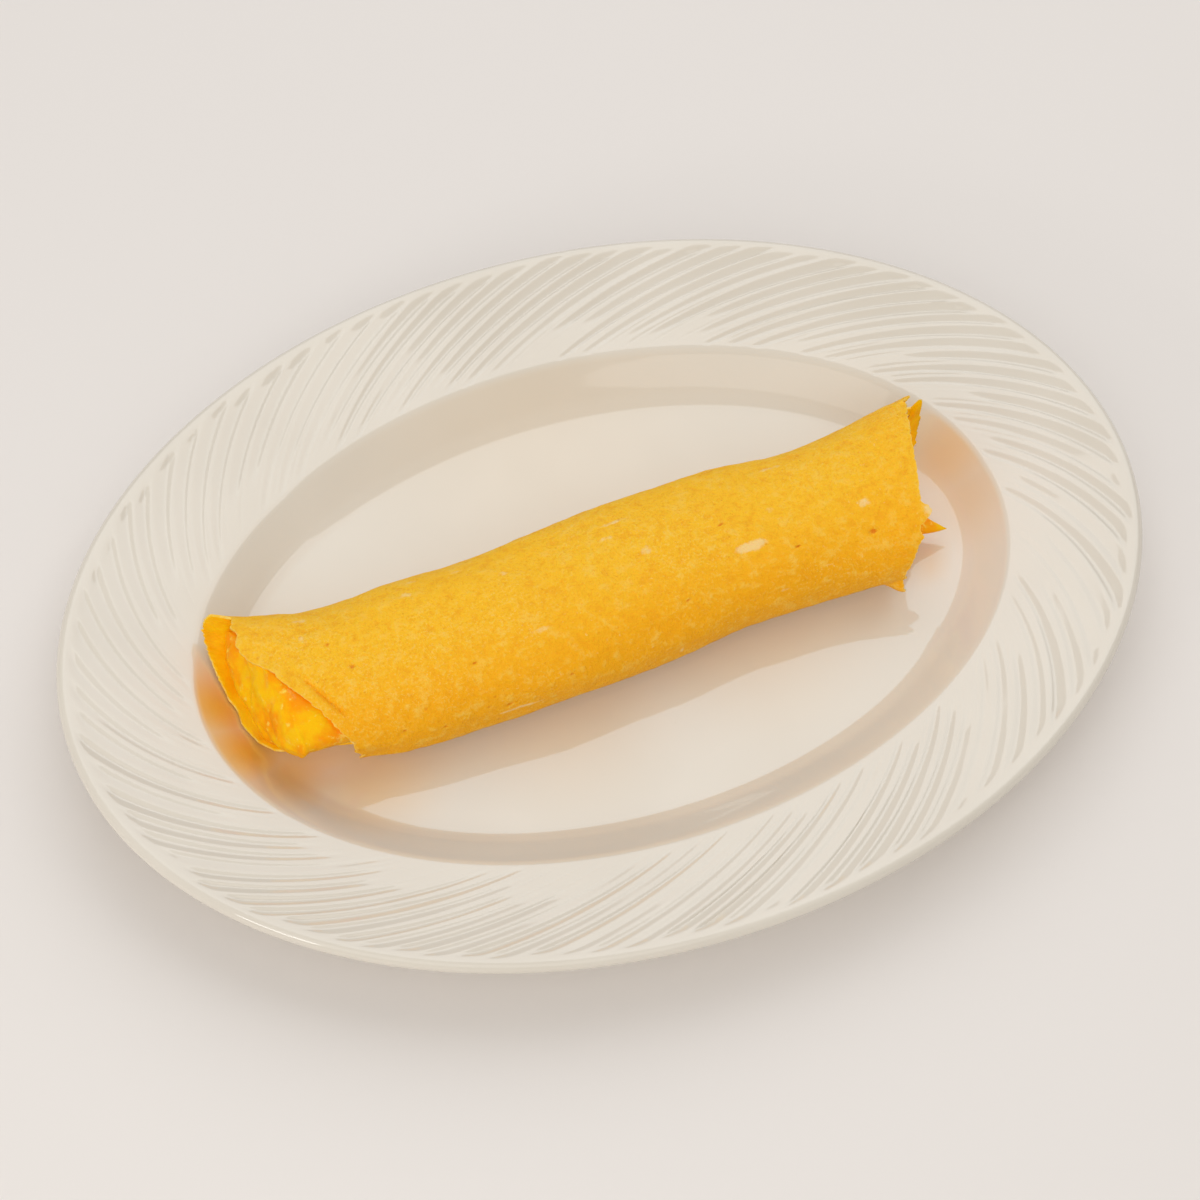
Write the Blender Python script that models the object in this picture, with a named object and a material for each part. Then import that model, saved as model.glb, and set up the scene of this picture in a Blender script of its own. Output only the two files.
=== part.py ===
"""A rolled omelette on its oval fluted plate, in metres, +Z up.

The origin is the middle of the plate's foot, on the surface that the plate stands on.
+X runs along the plate's long axis, towards the omelette's torn end.
+Y runs across the plate, away from the side where the egg sheet's free edge lies.
"""

import math
import random

import bmesh
import bpy
from mathutils import Vector, noise

# Plate: ovals given by their half-length, along X, and half-width, along Y
PLATE_HALF_LENGTH = 0.146
PLATE_HALF_WIDTH = 0.1073
SHOULDER_HALF_LENGTH = 0.1105
SHOULDER_HALF_WIDTH = 0.0746
FLOOR_HALF_LENGTH = 0.0999
FLOOR_HALF_WIDTH = 0.0625

# Plate: heights and thicknesses
FLOOR_TOP = 0.0082
FLOOR_THICKNESS = 0.0046
WALL_START = 0.0965
COVE_END = 0.1030
SHOULDER_START = 0.1092
SHOULDER_END = 0.1116
WALL_SLOPE = 0.775
RIM_SLOPE = 0.198
RIM_THICKNESS = 0.0046
LIP_RADIUS = 0.0022
FOOT_OUTER = 0.0885
FOOT_WIDTH = 0.0042
FOOT_FLANK = 0.0016
FLANK_OFFSET = 0.0028

# Plate: half-lengths of the rings that need no other name
FLOOR_RINGS = (0.050, 0.086)
UNDER_RIM_RINGS = (0.1405, 0.1290, 0.1165)
UNDER_WALL_RINGS = (0.1092, 0.1030, 0.0975)

# Plate: the swirling ribs
RIB_COUNT = 90
COLUMNS_PER_RIB = 4
RIB_INNER = 0.1120
RIB_OUTER = 0.1432
RIB_SWEEP = math.radians(26.0)
RIB_RING_SHARES = (0.0, 0.14, 0.36, 0.60, 0.80, 0.92, 1.0)
GROOVE_DEPTH = 0.0010
INNER_GROOVE_SHARE = 0.45
GROOVE_SPREAD = 0.35
GROOVE_FLANK = 0.22

# Omelette: the sheet and how it is rolled
SHEET_THICKNESS = 0.0022
CLEARANCE = 0.0004
FILLING_CLEARANCE = 0.0009
FREE_EDGE_ANGLE = math.radians(222.0)
TUCK_ANGLE = math.radians(-150.0)
TUCK_RAMP_START = math.radians(-92.0)
TUCK_RAMP_END = math.radians(-134.0)
UNDERSIDE_SQUARENESS = 2.9
TOP_SQUARENESS = 2.15

# Omelette: each end's reach, its setback at the free edge and where round the roll it is longest
LEFT_REACH = -0.1035
LEFT_SETBACK = 0.0335
LEFT_POWER = 1.6
LEFT_LONGEST = 0.68
RIGHT_REACH = 0.0955
RIGHT_SETBACK = 0.0200
RIGHT_POWER = 1.15
RIGHT_LONGEST = 0.60
FULL_SETBACK = 0.10
LEFT_TUCK_POWER = 3.5
RIGHT_TUCK_POWER = 1.8
RAGGED_LEFT = 0.0008
RAGGED_RIGHT = 0.0014
NOTCH_ANGLE = math.radians(44.0)
SPIKE_ANGLE = math.radians(27.0)
TEAR_WIDTH = math.radians(8.0)
TEAR_DEPTH = 0.0022

# Omelette: cross-sections along X, as (x, centre y, half-width, height)
SECTIONS = (
    (-0.106, 0.0008, 0.0240, 0.0215),
    (-0.088, -0.0030, 0.0225, 0.0226),
    (-0.060, -0.0048, 0.0230, 0.0252),
    (-0.025, -0.0042, 0.0231, 0.0268),
    (0.005, -0.0016, 0.0237, 0.0272),
    (0.035, 0.0010, 0.0224, 0.0268),
    (0.062, 0.0008, 0.0217, 0.0270),
    (0.088, 0.0012, 0.0255, 0.0294),
    (0.098, 0.0014, 0.0262, 0.0300),
)
RELIEF_HEIGHT = 0.0006
RELIEF_ALONG = 55.0
RELIEF_ROUND = 1.4

# Filling: where its sides stop, how that leans round the roll, and how its ends swell out
FILLING_LEFT = -0.0930
FILLING_LEFT_LEAN = (0.0050, 0.0015)
FILLING_LEFT_TIP = (-0.0990, -0.0020, 0.0080)
FILLING_LEFT_SWELL = ((0.66, 0.52), (0.32, 0.86))
FILLING_RIGHT = 0.0760
FILLING_RIGHT_LEAN = (-0.0060, 0.0)
TONGUE_TIP = (0.0945, -0.0072, 0.0052)
TONGUE_SWELL = ((0.56, 0.30), (0.22, 0.62), (0.10, 0.86))

# Mesh fineness
SHEET_COLUMNS = 50
SHEET_RINGS = 18
FILLING_COLUMNS = 26
FILLING_RINGS = 14
END_CROWDING = math.radians(68.0)

# Materials, as (colour, roughness)
GLAZE_LOOK = ((0.86, 0.83, 0.75), 0.12)
SKIN_LOOK = ((0.90, 0.55, 0.12), 0.55)
FILLING_LOOK = ((0.93, 0.48, 0.05), 0.30)


def clear_scene():
    for old in list(bpy.data.objects):
        bpy.data.objects.remove(old, do_unlink=True)


def blend(start, end, value):
    """0 below start, 1 past end, and an S-curve between them."""
    t = min(1.0, max(0.0, (value - start) / (end - start)))
    return t * t * (3.0 - 2.0 * t)


def mix(first, second, share):
    return first + (second - first) * share


def object_from(bm, name, look):
    """Turns the bmesh into a smooth-shaded object with its own material."""
    bmesh.ops.recalc_face_normals(bm, faces=bm.faces)
    mesh = bpy.data.meshes.new(name)
    bm.to_mesh(mesh)
    bm.free()
    for face in mesh.polygons:
        face.use_smooth = True
    mesh.set_sharp_from_angle(angle=math.radians(50.0))
    colour, roughness = look
    material = bpy.data.materials.new(name)
    material.use_nodes = True
    shader = material.node_tree.nodes["Principled BSDF"]
    shader.inputs["Base Color"].default_value = (*colour, 1.0)
    shader.inputs["Roughness"].default_value = roughness
    shader.inputs["Metallic"].default_value = 0.0
    mesh.materials.append(material)
    made = bpy.data.objects.new(name, mesh)
    bpy.context.scene.collection.objects.link(made)
    return made


def oval_half_width(half_length):
    """Half-width of the plate's oval that has this half-length."""
    if half_length <= FLOOR_HALF_LENGTH:
        return FLOOR_HALF_WIDTH * half_length / FLOOR_HALF_LENGTH
    if half_length <= SHOULDER_HALF_LENGTH:
        share = (half_length - FLOOR_HALF_LENGTH) / (SHOULDER_HALF_LENGTH - FLOOR_HALF_LENGTH)
        return mix(FLOOR_HALF_WIDTH, SHOULDER_HALF_WIDTH, share)
    share = (half_length - SHOULDER_HALF_LENGTH) / (PLATE_HALF_LENGTH - SHOULDER_HALF_LENGTH)
    return mix(SHOULDER_HALF_WIDTH, PLATE_HALF_WIDTH, share)


def stretch(start, end, value):
    """How much of the stretch from start to end lies before this value."""
    return max(0.0, min(value, end) - start)


def plate_top(half_length):
    """Height of the plate's upper face, without ribs, on the oval with this half-length."""
    cove_width = COVE_END - WALL_START
    shoulder_width = SHOULDER_END - SHOULDER_START
    cove = stretch(WALL_START, COVE_END, half_length)
    wall = stretch(COVE_END, SHOULDER_START, half_length)
    shoulder = stretch(SHOULDER_START, SHOULDER_END, half_length)
    rim = stretch(SHOULDER_END, PLATE_HALF_LENGTH, half_length)
    height = FLOOR_TOP + WALL_SLOPE * cove**2 / (2.0 * cove_width) + WALL_SLOPE * wall
    height += WALL_SLOPE * shoulder + (RIM_SLOPE - WALL_SLOPE) * shoulder**2 / (2.0 * shoulder_width)
    return height + RIM_SLOPE * rim


def even_angles(count):
    """Angles that space points evenly, by length, round the oval at mid-rim."""
    half_length = 0.5 * (RIB_INNER + RIB_OUTER)
    half_width = oval_half_width(half_length)
    steps = 20 * count
    walked = [0.0]
    for step in range(steps):
        angle = math.tau * (step + 0.5) / steps
        speed = math.hypot(half_length * math.sin(angle), half_width * math.cos(angle))
        walked.append(walked[-1] + speed)
    angles = []
    step = 0
    for index in range(count):
        goal = walked[-1] * index / count
        while walked[step + 1] < goal:
            step += 1
        part = (goal - walked[step]) / (walked[step + 1] - walked[step])
        angles.append(math.tau * (step + part) / steps)
    return angles


def rib_sweep(half_length):
    """The angle that the ribs have swept back by this oval."""
    share = (half_length - RIB_INNER) / (RIB_OUTER - RIB_INNER)
    return RIB_SWEEP * min(1.0, max(0.0, share))


def groove_profile(column):
    """How deep this column lies between two ribs: 0 on a crest, 1 in a groove."""
    return (0.0, GROOVE_FLANK, 1.0, GROOVE_FLANK)[column % COLUMNS_PER_RIB]


def groove_envelope(half_length):
    """The grooves start shallow at the shoulder, deepen outwards and end short of the lip."""
    share = (half_length - RIB_INNER) / (RIB_OUTER - RIB_INNER)
    if share <= 0.0 or share >= 1.0:
        return 0.0
    return mix(INNER_GROOVE_SHARE, 1.0, share) * blend(0.0, 0.12, share) * blend(1.0, 0.90, share)


def plate_ring(bm, angles, half_length, height, stride, depths=None):
    """One ring of plate points; with depths, the ribs' grooves are sunk into it."""
    half_width = oval_half_width(half_length)
    envelope = groove_envelope(half_length)
    ring = []
    for column in range(0, len(angles), stride):
        angle = angles[column] - rib_sweep(half_length)
        z = height
        if depths:
            rib = column // COLUMNS_PER_RIB
            z -= depths[rib] * envelope * groove_profile(column)
        ring.append(bm.verts.new((half_length * math.cos(angle), half_width * math.sin(angle), z)))
    return ring


def join_rings(bm, first, second):
    """Faces between two closed rings, whose counts may differ by a whole factor."""
    if len(first) < len(second):
        first, second = second, first
    stride = len(first) // len(second)
    for index in range(len(second)):
        start = index * stride
        fine = [first[(start + step) % len(first)] for step in range(stride + 1)]
        coarse = [second[(index + 1) % len(second)], second[index]]
        bm.faces.new(fine + coarse)


def close_ring(bm, ring, height):
    centre = bm.verts.new((0.0, 0.0, height))
    for index in range(len(ring)):
        bm.faces.new((ring[index], ring[(index + 1) % len(ring)], centre))


def well_profile():
    """Half-lengths of the smooth rings, from the floor outwards to the rounded shoulder."""
    middle_cove = mix(WALL_START, COVE_END, 0.5)
    middle_shoulder = mix(SHOULDER_START, SHOULDER_END, 0.5)
    wall = (WALL_START, middle_cove, COVE_END, SHOULDER_START, middle_shoulder, SHOULDER_END)
    return FLOOR_RINGS + wall


def lip_profile():
    """The rounded edge, from the rim's upper face round to its underside."""
    centre = PLATE_HALF_LENGTH - LIP_RADIUS
    middle = plate_top(centre) - LIP_RADIUS
    points = []
    for degrees in (60, 30, 0, -30, -60):
        turn = math.radians(degrees)
        points.append((centre + LIP_RADIUS * math.cos(turn), middle + LIP_RADIUS * math.sin(turn)))
    return points


def underside_profile():
    """From the lip inwards: under the rim, down the body's flank, round the foot, to its recess."""
    underside = FLOOR_TOP - FLOOR_THICKNESS
    foot_inner = FOOT_OUTER - FOOT_WIDTH
    rim = [(reach, plate_top(reach) - RIM_THICKNESS) for reach in UNDER_RIM_RINGS]
    flank = [(reach + FLANK_OFFSET, plate_top(reach) - FLOOR_THICKNESS) for reach in UNDER_WALL_RINGS]
    foot = [
        (FOOT_OUTER + FOOT_FLANK, underside),
        (FOOT_OUTER, 0.0),
        (foot_inner, 0.0),
        (foot_inner - FOOT_FLANK, underside),
    ]
    return rim + flank + foot


def make_plate():
    """The oval plate: ribbed rim, rounded lip, well, and a foot ring under the floor."""
    draw = random.Random(11)
    spreads = [draw.uniform(-GROOVE_SPREAD, GROOVE_SPREAD) for _ in range(RIB_COUNT)]
    depths = [GROOVE_DEPTH * (1.0 + spread) for spread in spreads]
    angles = even_angles(RIB_COUNT * COLUMNS_PER_RIB)
    bm = bmesh.new()
    rings = []
    for half_length in well_profile():
        rings.append(plate_ring(bm, angles, half_length, plate_top(half_length), COLUMNS_PER_RIB))
    for share in RIB_RING_SHARES:
        half_length = mix(RIB_INNER, RIB_OUTER, share)
        rings.append(plate_ring(bm, angles, half_length, plate_top(half_length), 1, depths))
    for half_length, height in lip_profile() + underside_profile():
        rings.append(plate_ring(bm, angles, half_length, height, COLUMNS_PER_RIB))
    for first, second in zip(rings, rings[1:]):
        join_rings(bm, first, second)
    close_ring(bm, rings[0], FLOOR_TOP)
    close_ring(bm, rings[-1], FLOOR_TOP - FLOOR_THICKNESS)
    return object_from(bm, "plate", GLAZE_LOOK)


def section_at(x):
    """Centre y, half-width and height of the roll at x, on a smooth curve through the sections."""
    last = len(SECTIONS) - 2
    index = 0
    while index < last and x > SECTIONS[index + 1][0]:
        index += 1
    before = SECTIONS[max(0, index - 1)]
    start = SECTIONS[index]
    end = SECTIONS[index + 1]
    after = SECTIONS[min(last + 1, index + 2)]
    span = end[0] - start[0]
    t = min(1.0, max(0.0, (x - start[0]) / span))
    values = []
    for place in (1, 2, 3):
        slope_in = (end[place] - before[place]) / (end[0] - before[0])
        slope_out = (after[place] - start[place]) / (after[0] - start[0])
        values.append(
            (2 * t**3 - 3 * t**2 + 1) * start[place]
            + (t**3 - 2 * t**2 + t) * span * slope_in
            + (3 * t**2 - 2 * t**3) * end[place]
            + (t**3 - t**2) * span * slope_out
        )
    return values


def rounded_corner(value, squareness):
    """Turns a sine or cosine into the coordinate of a superellipse."""
    return math.copysign(abs(value) ** (2.0 / squareness), value)


def well_lift(x, y):
    """How far the plate's wall stands above its floor under this point."""
    half_length = FLOOR_HALF_LENGTH
    size = math.hypot(x / half_length, y / oval_half_width(half_length))
    if size * half_length < WALL_START:
        return 0.0
    for _ in range(12):
        half_length *= size
        size = math.hypot(x / half_length, y / oval_half_width(half_length))
    return plate_top(min(half_length, RIB_INNER)) - FLOOR_TOP


def surface_relief(x, angle):
    """The sheet's broad unevenness, which fades on the underside."""
    place = Vector((x * RELIEF_ALONG, math.cos(angle) * RELIEF_ROUND, math.sin(angle) * RELIEF_ROUND))
    above = blend(-0.9, -0.2, math.sin(angle))
    return RELIEF_HEIGHT * above * noise.noise(place)


def roll_point(x, angle, inset):
    """A point of the roll: angle turns from the far side over the top, inset is the depth inside."""
    centre_y, half_width, height = section_at(x)
    half_height = 0.5 * height
    inside = inset - surface_relief(x, angle)
    squareness = TOP_SQUARENESS if math.sin(angle) > 0.0 else UNDERSIDE_SQUARENESS
    y = centre_y + (half_width - inside) * rounded_corner(math.cos(angle), squareness)
    z = half_height + (half_height - inside) * rounded_corner(math.sin(angle), squareness)
    lift = well_lift(x, y) * (1.0 - 0.5 * z / height)
    return (x, y, FLOOR_TOP + CLEARANCE + z + lift)


def sheet_share(angle):
    """How far round the roll the sheet has come at this angle, from 0 at its free edge."""
    return (FREE_EDGE_ANGLE - angle) / (FREE_EDGE_ANGLE - TUCK_ANGLE)


def end_setback(angle, longest, power, tuck_power):
    """0 where the round sheet is longest, 1 at its free edge and at its tucked edge."""
    share = sheet_share(angle)
    if share > longest:
        return ((share - longest) / (1.0 - longest)) ** tuck_power
    return min(1.0, (longest - share) / (longest - FULL_SETBACK)) ** power


def tear(angle, centre):
    return math.exp(-(((angle - centre) / TEAR_WIDTH) ** 2))


def left_end(angle):
    ragged = RAGGED_LEFT * noise.noise(Vector((angle * 3.1, 4.0, 0.0)))
    setback = LEFT_SETBACK * end_setback(angle, LEFT_LONGEST, LEFT_POWER, LEFT_TUCK_POWER)
    return LEFT_REACH + setback + ragged


def right_end(angle):
    ragged = RAGGED_RIGHT * noise.noise(Vector((angle * 4.3, 9.0, 0.0)))
    torn = TEAR_DEPTH * (tear(angle, SPIKE_ANGLE) - tear(angle, NOTCH_ANGLE))
    setback = RIGHT_SETBACK * end_setback(angle, RIGHT_LONGEST, RIGHT_POWER, RIGHT_TUCK_POWER)
    return RIGHT_REACH - setback + ragged + torn


def sheet_inset(angle):
    """The sheet's last stretch slips inside its free edge, one thickness deeper."""
    return (SHEET_THICKNESS + CLEARANCE) * blend(TUCK_RAMP_START, TUCK_RAMP_END, angle)


def places_along(rings):
    """Places from 0 to 1 along the roll, closer together near both ends."""
    turns = [mix(-END_CROWDING, END_CROWDING, ring / rings) for ring in range(rings + 1)]
    return [0.5 + 0.5 * math.sin(turn) / math.sin(END_CROWDING) for turn in turns]


def sheet_surface(bm, depth):
    """A grid of the rolled sheet's points at this depth below its outer face."""
    grid = []
    for column in range(SHEET_COLUMNS + 1):
        angle = mix(FREE_EDGE_ANGLE, TUCK_ANGLE, column / SHEET_COLUMNS)
        start = left_end(angle)
        end = right_end(angle)
        inset = sheet_inset(angle) + depth
        line = []
        for place in places_along(SHEET_RINGS):
            line.append(bm.verts.new(roll_point(mix(start, end, place), angle, inset)))
        grid.append(line)
    return grid


def join_grid(bm, grid):
    for first, second in zip(grid, grid[1:]):
        for index in range(len(first) - 1):
            bm.faces.new((first[index], first[index + 1], second[index + 1], second[index]))


def grid_border(grid):
    """The grid's outside points, in order round it."""
    ends_right = [line[-1] for line in grid[1:-1]]
    ends_left = [line[0] for line in reversed(grid[1:-1])]
    return grid[0] + ends_right + list(reversed(grid[-1])) + ends_left


def make_egg_sheet():
    """The thin round sheet of egg, rolled up, with open ends and its free edge at the front."""
    bm = bmesh.new()
    outer = sheet_surface(bm, 0.0)
    inner = sheet_surface(bm, SHEET_THICKNESS)
    join_grid(bm, outer)
    join_grid(bm, inner)
    join_rings(bm, grid_border(outer), grid_border(inner))
    return object_from(bm, "egg_skin", SKIN_LOOK)


def filling_inset(angle):
    """The filling clears the sheet, and both layers where the sheet is doubled."""
    layer = SHEET_THICKNESS + CLEARANCE
    wrapped = angle - math.tau if angle > math.radians(170.0) else angle
    past_tuck = TUCK_ANGLE - math.radians(8.0)
    doubled = blend(TUCK_RAMP_START + math.radians(4.0), TUCK_RAMP_END + math.radians(4.0), wrapped)
    single = blend(past_tuck, past_tuck - math.radians(24.0), wrapped)
    return SHEET_THICKNESS + FILLING_CLEARANCE + layer * doubled * (1.0 - single)


def filling_end(angle, middle, lean):
    """Where the filling's side stops at this angle, leaning with the roll's slanting end."""
    return middle - lean[0] * math.cos(angle) + lean[1] * math.sin(angle)


def middle_of(ring):
    return sum((vertex.co for vertex in ring), Vector()) / len(ring)


def swell_out(bm, ring, tip, swell):
    """Closes the filling's end with shrinking rings, each (size, way to the tip) of the last one."""
    middle = middle_of(ring)
    last = ring
    for size, way in swell:
        centre = middle.lerp(tip, way)
        inner = [bm.verts.new(centre + (vertex.co - middle) * size) for vertex in ring]
        join_rings(bm, last, inner)
        last = inner
    point = bm.verts.new(tip)
    for index in range(len(last)):
        bm.faces.new((last[index], last[(index + 1) % len(last)], point))


def above_floor(point):
    x, y, height = point
    return Vector((x, y, FLOOR_TOP + height))


def make_filling():
    """The soft filling that runs through the roll and shows at both of its ends."""
    bm = bmesh.new()
    rings = []
    for place in places_along(FILLING_RINGS):
        ring = []
        for column in range(FILLING_COLUMNS):
            angle = FREE_EDGE_ANGLE - math.tau * column / FILLING_COLUMNS
            start = filling_end(angle, FILLING_LEFT, FILLING_LEFT_LEAN)
            end = filling_end(angle, FILLING_RIGHT, FILLING_RIGHT_LEAN)
            ring.append(bm.verts.new(roll_point(mix(start, end, place), angle, filling_inset(angle))))
        rings.append(ring)
    for first, second in zip(rings, rings[1:]):
        join_rings(bm, first, second)
    swell_out(bm, rings[0], above_floor(FILLING_LEFT_TIP), FILLING_LEFT_SWELL)
    swell_out(bm, rings[-1], above_floor(TONGUE_TIP), TONGUE_SWELL)
    return object_from(bm, "filling", FILLING_LOOK)


def main():
    clear_scene()
    make_plate()
    make_egg_sheet()
    make_filling()


main()
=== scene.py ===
"""How a rolled omelette on its oval ribbed plate looks, in metres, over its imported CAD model.

The plate, the egg sheet and the filling are each modelled finer over the same named sizes as
the CAD solids, and stand in for them. Angles round the roll start at its far side, turn over
the top, and reach the front at half a turn.
"""

import math
import random

import bpy
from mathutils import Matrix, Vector, noise


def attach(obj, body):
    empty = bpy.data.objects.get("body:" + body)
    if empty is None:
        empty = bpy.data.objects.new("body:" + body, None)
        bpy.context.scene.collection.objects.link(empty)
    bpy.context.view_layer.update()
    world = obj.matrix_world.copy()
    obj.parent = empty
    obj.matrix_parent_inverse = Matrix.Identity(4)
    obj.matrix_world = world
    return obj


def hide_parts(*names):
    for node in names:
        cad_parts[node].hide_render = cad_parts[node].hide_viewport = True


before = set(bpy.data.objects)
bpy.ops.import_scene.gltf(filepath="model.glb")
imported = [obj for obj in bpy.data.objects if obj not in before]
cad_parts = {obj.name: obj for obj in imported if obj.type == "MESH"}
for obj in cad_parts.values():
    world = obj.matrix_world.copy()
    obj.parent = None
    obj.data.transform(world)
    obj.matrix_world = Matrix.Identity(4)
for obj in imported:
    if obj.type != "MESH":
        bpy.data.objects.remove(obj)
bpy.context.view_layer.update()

# Plate: ovals given by their half-length, along X, and half-width, along Y
PLATE_HALF_LENGTH = 0.146
PLATE_HALF_WIDTH = 0.1073
SHOULDER_HALF_LENGTH = 0.1105
SHOULDER_HALF_WIDTH = 0.0746
FLOOR_HALF_LENGTH = 0.0999
FLOOR_HALF_WIDTH = 0.0625

# Plate: heights and thicknesses
FLOOR_TOP = 0.0082
FLOOR_THICKNESS = 0.0046
WALL_START = 0.0965
COVE_END = 0.1030
SHOULDER_START = 0.1092
SHOULDER_END = 0.1116
WALL_SLOPE = 0.775
RIM_SLOPE = 0.198
RIM_THICKNESS = 0.0046
LIP_RADIUS = 0.0022
FOOT_OUTER = 0.0885
FOOT_WIDTH = 0.0042
FOOT_FLANK = 0.0016
FLANK_OFFSET = 0.0028

# Plate: half-lengths of the floor's rings, and of those that the underside follows below rim and wall
FLOOR_RINGS = (0.0, 0.030, 0.060, 0.080, 0.090)
UNDER_RIM_RINGS = (0.1405, 0.1290, 0.1165)
UNDER_WALL_RINGS = (0.1092, 0.1060, 0.1030, 0.1000, 0.0975)
COVE_RINGS = 6
WALL_RINGS = 3
SHOULDER_RINGS = 6
LIP_RINGS = 12
LIP_HALF_TURN = math.radians(84.0)

# Plate: the swirling ribs
RIB_COUNT = 90
COLUMNS_PER_RIB = 12
RIB_INNER = 0.1120
RIB_OUTER = 0.1432
RIB_SWEEP = math.radians(26.0)
RIM_RINGS = 34
GROOVE_DEPTH = 0.00068
INNER_GROOVE_SHARE = 0.40
FINE_GROOVE_DEPTH = 0.00009
PLATE_TRIM = 0.9990
RIB_SURFACE_BAND = 0.001

# Plate: a groove's shape across one rib, as shares of the rib, and along it, as shares of the rim
GROOVE_LEAN = -0.15
GROOVE_LEAN_REACHED = 0.5
INNER_HALF_WIDTH = 0.26
OUTER_HALF_WIDTH = 0.48
WEDGE_FLATTENING = 1.10
GROOVE_STARTS = (0.0, 0.0, 0.04, 0.14, 0.30)
GROOVE_START_FADE = 0.08
GROOVE_END_FADE = 0.05
FINE_GROOVE_WIDTH = 0.16
FINE_GROOVE_FADE_TO = 0.3

# Plate: how much one groove strays from its neighbours
GROOVE_SPREAD = 0.35
GROOVE_OFFSET_SPREAD = 0.10
GROOVE_WIDTH_RANGE = (0.82, 1.12)
GROOVE_END_RANGE = (0.94, 1.0)
FINE_GROOVE_RANGE = (0.2, 1.2)
FINE_GROOVE_END_RANGE = (0.45, 0.80)

# Plate: where the egg's orange bounce light and reflection are painted on the glaze, as (x, y, radius,
# strength)
PAINTED_BOUNCE_PLACES = (
    (-0.1050, 0.0030, 0.018, 0.90),
    (-0.1010, -0.0110, 0.019, 0.92),
    (-0.0930, -0.0190, 0.020, 0.66),
    (-0.0740, -0.0260, 0.026, 0.40),
    (-0.0200, -0.0300, 0.034, 0.12),
    (0.0350, -0.0240, 0.034, 0.12),
    (0.1040, 0.0160, 0.020, 0.40),
    (0.1040, 0.0020, 0.022, 0.22),
    (0.0850, -0.0120, 0.010, 0.34),
    (0.0000, 0.0720, 0.075, 0.10),
)

# Omelette: the sheet and how it is rolled
SHEET_THICKNESS = 0.0022
CLEARANCE = 0.0004
FILLING_CLEARANCE = 0.0009
MOUTH_CLEARANCE = -0.0012
FREE_EDGE_ANGLE = math.radians(222.0)
TUCK_ANGLE = math.radians(-150.0)
TUCK_RAMP_START = math.radians(-92.0)
TUCK_RAMP_END = math.radians(-134.0)
UNDERSIDE_SQUARENESS = 2.9
TOP_SQUARENESS = 2.15
LIFT_LOST_AT_TOP = 0.5

# Omelette: each end's reach, its setback at the free edge and where round the roll it is longest
LEFT_REACH = -0.1035
LEFT_SETBACK = 0.0335
LEFT_POWER = 1.6
LEFT_LONGEST = 0.68
RIGHT_REACH = 0.0955
RIGHT_SETBACK = 0.0200
RIGHT_POWER = 1.15
RIGHT_LONGEST = 0.60
FULL_SETBACK = 0.10
LEFT_TUCK_POWER = 3.5
RIGHT_TUCK_POWER = 1.8

# Omelette: cross-sections along X, as (x, centre y, half-width, height)
SECTIONS = (
    (-0.106, 0.0008, 0.0240, 0.0215),
    (-0.088, -0.0030, 0.0225, 0.0226),
    (-0.060, -0.0048, 0.0230, 0.0252),
    (-0.025, -0.0042, 0.0231, 0.0268),
    (0.005, -0.0016, 0.0237, 0.0272),
    (0.035, 0.0010, 0.0224, 0.0268),
    (0.062, 0.0008, 0.0217, 0.0270),
    (0.088, 0.0012, 0.0255, 0.0294),
    (0.098, 0.0014, 0.0262, 0.0300),
)
RELIEF_HEIGHT = 0.0006
RELIEF_ALONG = 55.0
RELIEF_ROUND = 1.4

# Omelette: finer bumps of the skin, as (height, waves along X for each metre, waves for each degree)
SKIN_BUMPS = ((0.00016, 260.0, 0.085), (0.00008, 700.0, 0.26))
SKIN_SET_BACK = 0.0002
PIT_DEPTH = 0.0007

# Omelette: raggedness of the torn ends, as (reach, degrees for each wave, row of the noise)
FRAYS = ((0.0005, 5.0, 0.0), (0.00035, 1.8, 5.0))
RIGHT_FRAY = 1.3
THIN_EDGE = 0.005
EDGE_THINNING = 0.74

# Omelette: where its torn ends stray from their smooth slant, as (angle, half-angle, reach in mm)
LEFT_TEARS = (
    (31, 16, 3.0),
    (71, 18, -3.4),
    (122, 30, 1.7),
    (178, 4, -0.7),
    (187, 4, 0.9),
    (190, 36, -4.8),
    (199, 5, -0.9),
    (212, 5, 0.9),
)
RIGHT_TEARS = (
    (-28, 46, 3.4),
    (5, 19, -4.4),
    (31, 3, 1.0),
    (36, 3, -0.9),
    (124, 9, 3.0),
    (142, 6, 1.0),
    (190, 7, 0.9),
    (206, 12, 0.4),
)

# Omelette: bent torn corners, as (angle, half-angle, lean to the front, rise, length from the end)
LEFT_BENDS = (
    (200, 32, -0.0014, 0.0, 0.012),
    (-142, 26, -0.0025, 0.0, 0.012),
)
RIGHT_BENDS = (
    (-17, 5, 0.0, 0.0042, 0.0030),
    (-12, 50, 0.0008, 0.0, 0.009),
    (31, 9, 0.0, 0.0012, 0.0050),
    (207, 24, -0.0014, 0.0, 0.018),
    (209, 18, 0.0038, 0.0, 0.005),
)

# Omelette: local swellings and dips, as (x in mm, half-length in mm, angle, half-angle, height in mm)
BULGES = (
    (-93, 14, 36, 44, 1.5),
    (-70, 13, 36, 40, -1.0),
)
ARC_PER_DEGREE = 0.40

# Omelette: painted shade, a deeper orange-yellow, grows between these two angles, in degrees, towards the
# front and lower side
PAINTED_FRONT_SHADE = (74.0, 156.0)

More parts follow.
